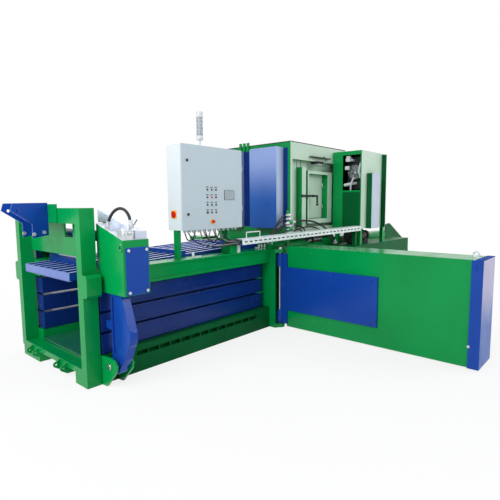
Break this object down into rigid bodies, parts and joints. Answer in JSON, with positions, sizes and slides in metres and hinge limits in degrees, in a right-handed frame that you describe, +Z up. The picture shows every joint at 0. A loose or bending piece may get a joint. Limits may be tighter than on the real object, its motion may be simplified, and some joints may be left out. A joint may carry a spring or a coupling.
{
  "type": "recycling baler",
  "caption": "Horizontal channel baler: feed hopper, hydraulic ram, bale channel squeezed by side levers, top flap, swing-out needle box and control cabinet",
  "frame": {"origin": "centre of the pattern of the four floor anchor holes, on the floor", "axes": "+X along the channel from the discharge portal toward the main cylinder, +Y to the side away from the control cabinet, +Z up"},
  "size_m": [8.294, 4.745, 2.87],
  "materials": {
    "green_paint": "gloss",
    "dark_green_paint": "gloss",
    "blue_paint": "gloss",
    "cabinet_grey": "satin powder coat",
    "bright_steel": "machined",
    "galvanised": "galvanised",
    "black_rubber": "matte",
    "black_plastic": "matte",
    "red_plastic": "gloss",
    "lens": "clear"
  },
  "bodies": {
    "frame": {"base_frame": "green_paint", "channel_floor": "bright_steel", "anchor_plates": "green_paint", "discharge_portal": "green_paint", "portal_front_plate": "green_paint", "top_beams": "green_paint", "hinge_posts": "green_paint", "pivot_pins": "bright_steel", "lever_lugs": "green_paint", "clamp_housings": "green_paint", "housing_covers": "blue_paint", "frame_bolts": "bright_steel", "cylinder_guard": "galvanised", "valve_block": "bright_steel", "stay_bracket": "blue_paint", "press_frame": "green_paint", "fixed_knife": "bright_steel", "rear_frame": "green_paint", "main_cylinder": "dark_green_paint", "knotter_housing": "green_paint", "hopper_shell": "green_paint", "hopper_front_panels": "blue_paint", "oil_tank": "green_paint", "power_pack_cabinet": "green_paint", "oil_cooler": "black_plastic", "motor_pump": "black_plastic", "cable_tray": "galvanised", "hose_bracket": "green_paint", "arch_hose": "black_rubber", "loop_hose": "black_rubber", "supply_hose": "black_rubber", "cabinet_body": "cabinet_grey", "cabinet_posts": "green_paint", "stack_light": "black_plastic", "stack_light_lenses": "lens"},
    "near_wall": {"near_bands": "blue_paint"},
    "far_wall": {"far_bands": "blue_paint"},
    "near_clamp_lever": {"near_lever": "blue_paint"},
    "far_clamp_lever": {"far_lever": "blue_paint"},
    "clamp_barrel": {"clamp_cylinder": "blue_paint"},
    "clamp_piston": {"clamp_rod": "bright_steel"},
    "flap": {"top_flap": "blue_paint"},
    "ram_carriage": {"ram": "dark_green_paint", "ram_knife": "bright_steel"},
    "needle_housing": {"needle_box": "green_paint", "needle_box_panels": "blue_paint"},
    "needle_feed": {"needle_carriage": "dark_green_paint", "needles": "bright_steel"},
    "feed_door": {"hopper_door": "green_paint"},
    "feed_latch": {"hopper_latch": "black_plastic"},
    "control_door": {"cabinet_door": "cabinet_grey", "door_controls": "black_plastic"},
    "start_key": {"start_button": "black_plastic"},
    "stop_key": {"stop_button": "red_plastic"},
    "reset_key": {"reset_button": "black_plastic"},
    "emergency_key": {"emergency_stop": "red_plastic"},
    "selector": {"mode_selector": "black_plastic"},
    "upper_lock": {"upper_door_lock": "black_plastic"},
    "lower_lock": {"lower_door_lock": "black_plastic"},
    "isolator": {"main_switch": "red_plastic"}
  },
  "joints": [
    {"name": "near_lever_pivot", "type": "hinge", "parent": "frame", "child": "near_clamp_lever", "pos_m": [-5.235, -0.935, 0.215], "axis": [-1, 0, 0], "range_deg": [0, 5]},
    {"name": "far_lever_pivot", "type": "hinge", "parent": "frame", "child": "far_clamp_lever", "pos_m": [-5.235, 0.935, 0.215], "axis": [1, 0, 0], "range_deg": [0, 5]},
    {"name": "near_wall_hinge", "type": "hinge", "parent": "frame", "child": "near_wall", "pos_m": [-2.81, -0.635, 0.6], "axis": [0, 0, -1], "range_deg": [0, 0.9]},
    {"name": "far_wall_hinge", "type": "hinge", "parent": "frame", "child": "far_wall", "pos_m": [-2.81, 0.635, 0.6], "axis": [0, 0, 1], "range_deg": [0, 0.9]},
    {"name": "clamp_cylinder_pivot", "type": "hinge", "parent": "near_clamp_lever", "child": "clamp_barrel", "pos_m": [-5.235, -0.82, 1.47], "axis": [1, 0, 0], "range_deg": [0, 5]},
    {"name": "clamp_rod_slide", "type": "slide", "parent": "clamp_barrel", "child": "clamp_piston", "axis": [0, -1, 0], "range_m": [0, 0.219]},
    {"name": "top_flap_hinge", "type": "hinge", "parent": "frame", "child": "flap", "pos_m": [-2.654, 0, 1.165], "axis": [0, -1, 0], "range_deg": [0, 2]},
    {"name": "ram_slide", "type": "slide", "parent": "frame", "child": "ram_carriage", "axis": [-1, 0, 0], "range_m": [0, 1.95]},
    {"name": "needle_box_hinge", "type": "hinge", "parent": "frame", "child": "needle_housing", "pos_m": [-2.591, -0.89, 0.6], "axis": [0, 0, 1], "range_deg": [-65, 0]},
    {"name": "needle_slide", "type": "slide", "parent": "needle_housing", "child": "needle_feed", "axis": [0, 1, 0], "range_m": [0, 1.6]},
    {"name": "hopper_door_hinge", "type": "hinge", "parent": "frame", "child": "feed_door", "pos_m": [-1.194, -0.706, 1.9], "axis": [0, 0, 1], "range_deg": [0, 90]},
    {"name": "hopper_latch_pivot", "type": "hinge", "parent": "feed_door", "child": "feed_latch", "pos_m": [-1.64, -0.76, 1.898], "axis": [0, 1, 0], "range_deg": [0, 35]},
    {"name": "control_door_hinge", "type": "hinge", "parent": "frame", "child": "control_door", "pos_m": [-3.325, -0.832, 1.95], "axis": [0, 0, 1], "range_deg": [0, 110]},
    {"name": "main_switch_turn", "type": "hinge", "parent": "frame", "child": "isolator", "pos_m": [-4.316, -0.685, 1.663], "axis": [-1, 0, 0], "range_deg": [0, 90]},
    {"name": "start_press", "type": "slide", "parent": "control_door", "child": "start_key", "axis": [0, 1, 0], "range_m": [0, 0.004], "stiffness_N_per_m": 600},
    {"name": "stop_press", "type": "slide", "parent": "control_door", "child": "stop_key", "axis": [0, 1, 0], "range_m": [0, 0.004], "stiffness_N_per_m": 600},
    {"name": "reset_press", "type": "slide", "parent": "control_door", "child": "reset_key", "axis": [0, 1, 0], "range_m": [0, 0.004], "stiffness_N_per_m": 600},
    {"name": "emergency_press", "type": "slide", "parent": "control_door", "child": "emergency_key", "axis": [0, 1, 0], "range_m": [0, 0.006], "stiffness_N_per_m": 600},
    {"name": "mode_select", "type": "hinge", "parent": "control_door", "child": "selector", "pos_m": [-3.937, -0.842, 1.68], "axis": [0, 1, 0], "range_deg": [0, 90]},
    {"name": "upper_lock_turn", "type": "hinge", "parent": "control_door", "child": "upper_lock", "pos_m": [-4.236, -0.842, 2.274], "axis": [0, 1, 0], "range_deg": [0, 90]},
    {"name": "lower_lock_turn", "type": "hinge", "parent": "control_door", "child": "lower_lock", "pos_m": [-4.236, -0.842, 1.663], "axis": [0, 1, 0], "range_deg": [0, 90]}
  ],
  "couplings": [
    {"joint": "far_lever_pivot", "follows": "near_lever_pivot", "ratio": 1},
    {"joint": "near_wall_hinge", "follows": "near_lever_pivot", "ratio": 0.18},
    {"joint": "far_wall_hinge", "follows": "near_lever_pivot", "ratio": 0.18},
    {"joint": "clamp_cylinder_pivot", "follows": "near_lever_pivot", "ratio": 1},
    {"joint": "clamp_rod_slide", "follows": "near_lever_pivot", "m_per_rad": 2.498}
  ]
}
